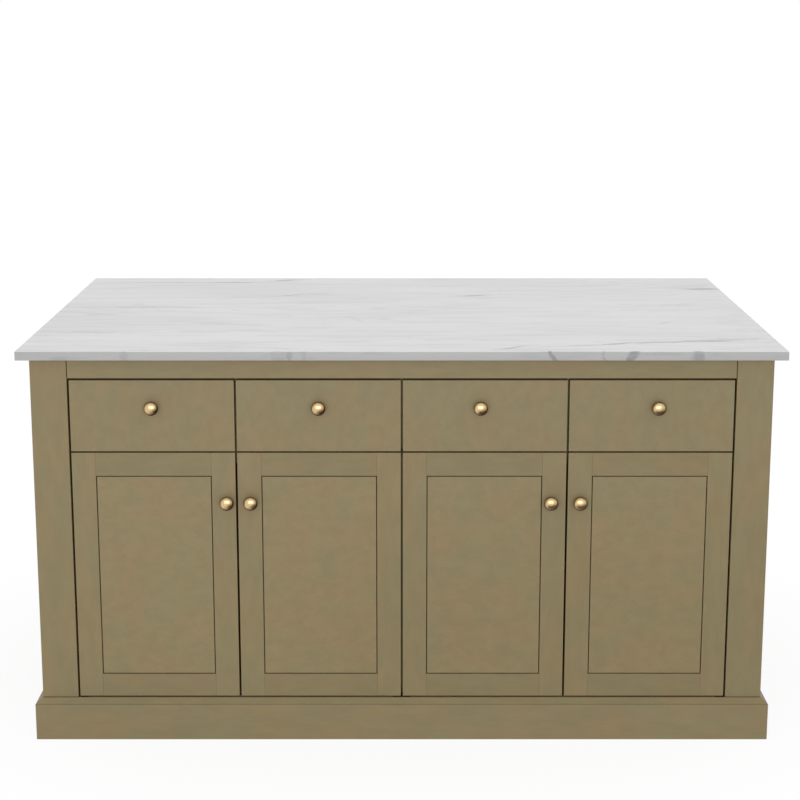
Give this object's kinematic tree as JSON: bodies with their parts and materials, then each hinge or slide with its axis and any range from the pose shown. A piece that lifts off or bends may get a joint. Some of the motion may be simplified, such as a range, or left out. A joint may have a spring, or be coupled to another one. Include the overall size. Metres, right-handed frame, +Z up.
{
  "type": "kitchen island unit",
  "caption": "Free-standing kitchen island with an overhanging stone worktop, a row of drawers over framed double cupboard doors, corner posts and a sloped plinth.",
  "frame": {"origin": "on the floor under the middle of the worktop", "axes": "+X along the unit to the right as seen from the front, +Y to the back, +Z up; the drawers and doors face -Y"},
  "size_m": [1.6726, 0.95, 0.9],
  "materials": {
    "painted_wood": "khaki-olive satin finish over fine grained timber",
    "carcass_wood": "clear lacquered birch board",
    "stone": "pale marble with soft grey veins, lightly polished",
    "brass": "polished brass",
    "hinge_metal": "steel with a dark bronze coating"
  },
  "bodies": {
    "carcass": {"worktop": "stone", "front_left_post": "painted_wood", "front_right_post": "painted_wood", "back_left_post": "painted_wood", "back_right_post": "painted_wood", "front_top_rail": "painted_wood", "front_plinth": "painted_wood", "back_plinth": "painted_wood", "left_plinth": "painted_wood", "right_plinth": "painted_wood", "left_end_panel": "painted_wood", "right_end_panel": "painted_wood", "back_panel": "painted_wood", "left_carcass_side": "carcass_wood", "right_carcass_side": "carcass_wood", "centre_partition": "carcass_wood", "base_panel": "carcass_wood", "base_bearer": "carcass_wood", "left_drawer_deck": "carcass_wood", "right_drawer_deck": "carcass_wood", "left_shelf": "carcass_wood", "right_shelf": "carcass_wood", "left_drawer_divider": "carcass_wood", "right_drawer_divider": "carcass_wood", "drawer_1_runner": "carcass_wood", "drawer_2_runner": "carcass_wood", "drawer_3_runner": "carcass_wood", "drawer_4_runner": "carcass_wood", "door_1_top_hinge": "hinge_metal", "door_1_bottom_hinge": "hinge_metal", "door_2_top_hinge": "hinge_metal", "door_2_bottom_hinge": "hinge_metal", "door_3_top_hinge": "hinge_metal", "door_3_bottom_hinge": "hinge_metal", "door_4_top_hinge": "hinge_metal", "door_4_bottom_hinge": "hinge_metal"},
    "drawer_1": {"drawer_1_front": "painted_wood", "drawer_1_box": "carcass_wood", "drawer_1_knob": "brass"},
    "drawer_2": {"drawer_2_front": "painted_wood", "drawer_2_box": "carcass_wood", "drawer_2_knob": "brass"},
    "drawer_3": {"drawer_3_front": "painted_wood", "drawer_3_box": "carcass_wood", "drawer_3_knob": "brass"},
    "drawer_4": {"drawer_4_front": "painted_wood", "drawer_4_box": "carcass_wood", "drawer_4_knob": "brass"},
    "door_1": {"door_1_frame": "painted_wood", "door_1_panel": "painted_wood", "door_1_knob": "brass"},
    "door_2": {"door_2_frame": "painted_wood", "door_2_panel": "painted_wood", "door_2_knob": "brass"},
    "door_3": {"door_3_frame": "painted_wood", "door_3_panel": "painted_wood", "door_3_knob": "brass"},
    "door_4": {"door_4_frame": "painted_wood", "door_4_panel": "painted_wood", "door_4_knob": "brass"}
  },
  "joints": [
    {"name": "drawer_1_slide", "type": "slide", "parent": "carcass", "child": "drawer_1", "axis": [0, -1, 0], "range_m": [0, 0.35]},
    {"name": "drawer_2_slide", "type": "slide", "parent": "carcass", "child": "drawer_2", "axis": [0, -1, 0], "range_m": [0, 0.35]},
    {"name": "drawer_3_slide", "type": "slide", "parent": "carcass", "child": "drawer_3", "axis": [0, -1, 0], "range_m": [0, 0.35]},
    {"name": "drawer_4_slide", "type": "slide", "parent": "carcass", "child": "drawer_4", "axis": [0, -1, 0], "range_m": [0, 0.35]},
    {"name": "door_1_hinge", "type": "hinge", "parent": "carcass", "child": "door_1", "pos_m": [-0.71875, -0.445, 0.38], "axis": [0, 0, -1], "range_deg": [0, 110]},
    {"name": "door_2_hinge", "type": "hinge", "parent": "carcass", "child": "door_2", "pos_m": [-0.01025, -0.445, 0.38], "axis": [0, 0, 1], "range_deg": [0, 85]},
    {"name": "door_3_hinge", "type": "hinge", "parent": "carcass", "child": "door_3", "pos_m": [0.01025, -0.445, 0.38], "axis": [0, 0, -1], "range_deg": [0, 85]},
    {"name": "door_4_hinge", "type": "hinge", "parent": "carcass", "child": "door_4", "pos_m": [0.71875, -0.445, 0.38], "axis": [0, 0, 1], "range_deg": [0, 110]}
  ]
}
